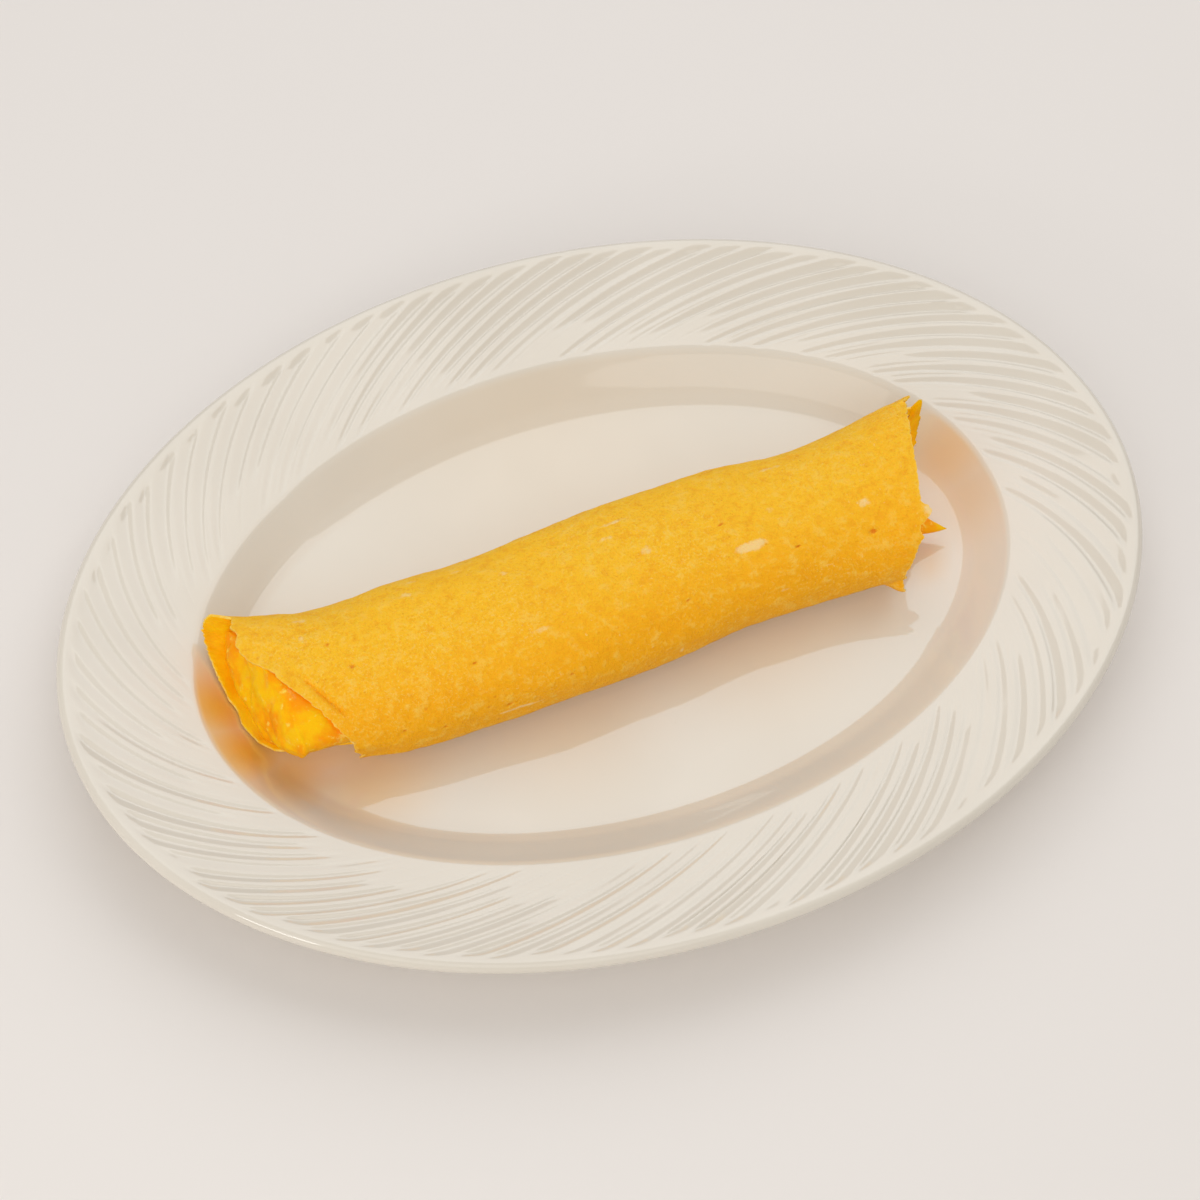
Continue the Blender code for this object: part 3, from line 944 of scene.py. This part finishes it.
class Finish:
    """A material while it is made: its nodes and the shader at its end."""

    def __init__(self, name, **fixed):
        self.material = bpy.data.materials.new(name)
        self.material.use_nodes = True
        self.tree = self.material.node_tree
        self.shader = self.tree.nodes["Principled BSDF"]
        for key, value in fixed.items():
            self.shader.inputs[key.replace("_", " ")].default_value = value
        self.place = self.node("TexCoord", output="Object")

    def node(self, kind, settings=None, inputs=None, output=0):
        """Adds one node: its settings first, then the values or links of its sockets."""
        made = self.tree.nodes.new("ShaderNode" + kind)
        for name, value in (settings or {}).items():
            setattr(made, name, value)
        for key, value in (inputs or {}).items():
            self.join(value, made.inputs[key])
        return Value(self, made.outputs[output])

    def join(self, value, socket):
        if isinstance(value, Value):
            self.tree.links.new(value.socket, socket)
        else:
            socket.default_value = value

    def noise(self, scale, detail=3.0, roughness=0.5):
        """Cloudy noise with this many waves for each metre."""
        inputs = {"Vector": self.place, "Scale": scale, "Detail": detail, "Roughness": roughness}
        return self.node("TexNoise", None, inputs)

    def cells(self, scale):
        """The distance to the nearest of this many scattered points for each metre."""
        return self.node("TexVoronoi", None, {"Vector": self.place, "Scale": scale}, "Distance")

    def mark(self, name):
        """The piece's own attribute of this name."""
        return self.node("Attribute", {"attribute_name": name}, output="Fac")

    def colour(self, share, first, second):
        """A mix of two colours by this share."""
        return self.node("Mix", {"data_type": "RGBA"}, {0: share, 6: first, 7: second}, output=2)

    def bump(self, height, strength, distance, below=None):
        inputs = {"Height": height, "Strength": strength, "Distance": distance}
        if below:
            inputs["Normal"] = below
        return self.node("Bump", None, inputs)

    def end(self, **linked):
        for key, value in linked.items():
            self.join(value, self.shader.inputs[key.replace("_", " ")])
        return self.material


def rgb(red, green, blue):
    return (red, green, blue, 1.0)


def glaze_finish():
    """A warm white glaze: glossy, faintly clouded, never quite level, with painted bounce light from the
    egg beside its ends.
    """
    finish = Finish("warm_white_glaze", Specular_IOR_Level=1.0, IOR=1.5)
    cloud = finish.noise(28.0, 2.0).ramp(0.30, 0.70)
    colour = finish.colour(cloud, rgb(0.716, 0.664, 0.584), rgb(0.740, 0.689, 0.610))
    # painted bounce light and reflection: the egg's orange painted into the glaze beside the roll's ends
    colour = finish.colour(finish.mark("warm"), colour, rgb(0.780, 0.415, 0.022))
    speck = finish.cells(310.0).ramp(0.060, 0.035) * finish.noise(75.0).ramp(0.66, 0.72)
    colour = finish.colour(speck * 0.35, colour, rgb(0.50, 0.42, 0.32))
    wave = finish.bump(finish.noise(42.0, 1.0), 0.10, 0.0012)
    pinholes = finish.bump(1.0 - speck, 0.25, 0.0002, wave)
    roughness = 0.030 + 0.025 * finish.noise(60.0)
    return finish.end(Base_Color=colour, Roughness=roughness, Normal=pinholes)


def skin_finish():
    """The sheet's cooked face: matt, finely pored, mottled, with pale flakes, a few burst bubbles, and
    painted shade on its front and along the fold.
    """
    finish = Finish(
        "cooked_egg_skin",
        Subsurface_Weight=0.16,
        Subsurface_Scale=0.004,
        Specular_IOR_Level=0.24,
    )
    finish.shader.inputs["Subsurface Radius"].default_value = SKIN_SCATTER
    mottle = finish.noise(330.0, 5.0, 0.62)
    broad = finish.noise(42.0, 3.0)
    # painted shade: deeper orange on the roll's front and lower side, with a broad random tone mixed in
    low = (finish.mark("low") + 0.55 * (broad - 0.5)).held()
    colour = finish.colour(low, rgb(0.975, 0.530, 0.014), rgb(0.945, 0.425, 0.002))
    speckle = finish.noise(1300.0, 2.0, 0.7)
    grainy = finish.noise(34.0, 2.0).ramp(0.34, 0.62)
    colour = finish.colour(0.52 * mottle.ramp(0.50, 0.67), colour, rgb(0.965, 0.600, 0.090))
    colour = finish.colour(0.54 * mottle.ramp(0.48, 0.33), colour, rgb(0.890, 0.380, 0.003))
    colour = finish.colour(0.42 * grainy * speckle.ramp(0.54, 0.67), colour, rgb(0.970, 0.650, 0.150))
    colour = finish.colour(0.40 * speckle.ramp(0.46, 0.34), colour, rgb(0.865, 0.350, 0.001))
    edged = finish.mark("pale") + 1.30 * (finish.noise(480.0, 5.0, 0.70) - 0.5)
    patch = edged.ramp(0.24, 0.76)
    fleck = finish.noise(900.0, 2.0).ramp(0.64, 0.80) * finish.noise(60.0).ramp(0.44, 0.64)
    colour = finish.colour(0.46 * fleck, colour, rgb(0.960, 0.700, 0.300))
    colour = finish.colour(0.76 * patch, colour, rgb(0.940, 0.680, 0.310))
    pore = finish.cells(620.0).ramp(0.24, 0.08) * finish.noise(180.0).ramp(0.46, 0.64)
    colour = finish.colour(0.40 * pore, colour, rgb(0.840, 0.330, 0.004))
    slit = finish.cells(150.0).ramp(0.090, 0.045) * finish.noise(40.0).ramp(0.50, 0.60)
    colour = finish.colour(0.60 * slit, colour, rgb(0.800, 0.270, 0.002))
    # darker in the pits, and painted shade along the fold's crease
    pit_and_fold_shade = finish.mark("pit_and_fold_shade").ramp(0.20, 0.80)
    colour = finish.colour(0.90 * pit_and_fold_shade, colour, rgb(0.760, 0.210, 0.002))
    rim = finish.mark("edge").ramp(0.90, 1.0)
    colour = finish.colour(0.35 * rim, colour, rgb(0.970, 0.640, 0.160))
    grain = finish.bump(mottle + 0.5 * speckle, 0.95, 0.00062)
    pores = finish.bump(1.0 - pore, 0.35, 0.00030, grain)
    flakes = finish.bump(patch, 0.30, 0.00025, pores)
    roughness = 0.50 + 0.18 * mottle - 0.10 * patch
    return finish.end(Base_Color=colour, Roughness=roughness, Normal=flakes)


def inner_finish():
    """The sheet's soft inner face: smoother, moist and a deeper yellow."""
    finish = Finish(
        "soft_egg_inside",
        Subsurface_Weight=0.22,
        Subsurface_Scale=0.004,
        Specular_IOR_Level=0.12,
    )
    finish.shader.inputs["Subsurface Radius"].default_value = SKIN_SCATTER
    cloud = finish.noise(160.0, 4.0, 0.6)
    colour = finish.colour(cloud.ramp(0.30, 0.70), rgb(0.960, 0.440, 0.002), rgb(0.980, 0.600, 0.004))
    grain = finish.bump(finish.noise(520.0, 3.0), 0.40, 0.00040)
    return finish.end(Base_Color=colour, Roughness=0.26 + 0.20 * cloud, Normal=grain)


def cut_finish():
    """The sheet's thin torn edge, paler than its faces."""
    finish = Finish("torn_egg_edge", Subsurface_Weight=0.25, Subsurface_Scale=0.004)
    finish.shader.inputs["Subsurface Radius"].default_value = EDGE_SCATTER
    fray = finish.noise(700.0, 3.0)
    colour = finish.colour(fray.ramp(0.35, 0.65), rgb(0.960, 0.540, 0.020), rgb(0.975, 0.660, 0.160))
    return finish.end(Base_Color=colour, Roughness=0.45 + 0.1 * fray, Normal=finish.bump(fray, 0.4, 0.0003))


def filling_finish():
    """Soft, barely set egg: wet, bright orange-yellow, with yellower and paler curds in it, whose small
    pale specks are also painted wet highlights.
    """
    finish = Finish(
        "soft_egg_filling",
        Subsurface_Weight=0.25,
        Subsurface_Scale=0.005,
        Specular_IOR_Level=0.10,
    )
    finish.shader.inputs["Subsurface Radius"].default_value = FILLING_SCATTER
    finish.shader.inputs["Coat Roughness"].default_value = 0.10
    curd = finish.noise(130.0, 3.0, 0.55)
    fine = finish.noise(420.0, 4.0, 0.6)
    colour = finish.colour(curd.ramp(0.36, 0.64), rgb(0.985, 0.335, 0.001), rgb(0.990, 0.545, 0.003))
    # pale specks: paler curds and painted highlights of wet glints
    colour = finish.colour(0.85 * fine.ramp(0.58, 0.70), colour, rgb(0.990, 0.680, 0.100))
    lumps = finish.bump(curd, 0.40, 0.0010)
    grain = finish.bump(fine, 0.50, 0.0005, lumps)
    wet = finish.noise(300.0, 2.0).ramp(0.58, 0.66)
    return finish.end(Base_Color=colour, Roughness=0.28 + 0.18 * fine, Normal=grain, Coat_Weight=0.5 * wet)


def floor_finish():
    """A plain pale table top."""
    finish = Finish("pale_floor", Roughness=0.9)
    cloud = finish.noise(3.0, 2.0)
    colour = finish.colour(cloud, rgb(0.800, 0.765, 0.745), rgb(0.815, 0.780, 0.762))
    return finish.end(Base_Color=colour)


# The stage


def look_from(piece, place, target):
    piece.location = place
    piece.rotation_euler = (Vector(target) - Vector(place)).to_track_quat("-Z", "Y").to_euler()


def make_floor():
    deselect_all()
    bpy.ops.mesh.primitive_plane_add(size=6.0, location=(0.0, 0.0, 0.0))
    floor = bpy.context.active_object
    floor.name = "table_top"
    floor.data.materials.append(floor_finish())


def make_light(name, place, size, radiance, colour, casts_shadow):
    """A soft panel that faces the plate. One without a shadow doesn't show in the glaze either."""
    light = bpy.data.lights.new(name, "AREA")
    light.shape = "RECTANGLE"
    light.size, light.size_y = size
    light.energy = radiance * size[0] * size[1] * math.pi
    light.color = colour
    light.use_shadow = casts_shadow
    lamp = bpy.data.objects.new(name, light)
    bpy.context.scene.collection.objects.link(lamp)
    lamp.visible_glossy = casts_shadow
    look_from(lamp, place, (0.0, 0.0, 0.0))


def make_stage():
    """Pale floor, soft light from behind and above, and the camera at the photograph's angle."""
    make_floor()
    for lamp in LAMPS:
        make_light(*lamp)
    world = bpy.data.worlds.new("soft_room")
    bpy.context.scene.world = world
    world.use_nodes = True
    sky = world.node_tree.nodes["Background"].inputs
    sky["Color"].default_value = ROOM_COLOUR
    sky["Strength"].default_value = ROOM_STRENGTH
    lens = bpy.data.cameras.new("camera")
    lens.sensor_width = SENSOR_WIDTH
    lens.lens = LENS_LENGTH
    camera = bpy.data.objects.new("camera", lens)
    bpy.context.scene.collection.objects.link(camera)
    look_from(camera, CAMERA_TARGET + CAMERA_DISTANCE * CAMERA_DIRECTION, CAMERA_TARGET)
    bpy.context.scene.camera = camera
    bpy.context.scene.view_settings.view_transform = "Standard"


def main():
    make_stage()
    make_plate(glaze_finish())
    make_sheet((skin_finish(), inner_finish(), cut_finish()))
    make_filling(filling_finish())


main()
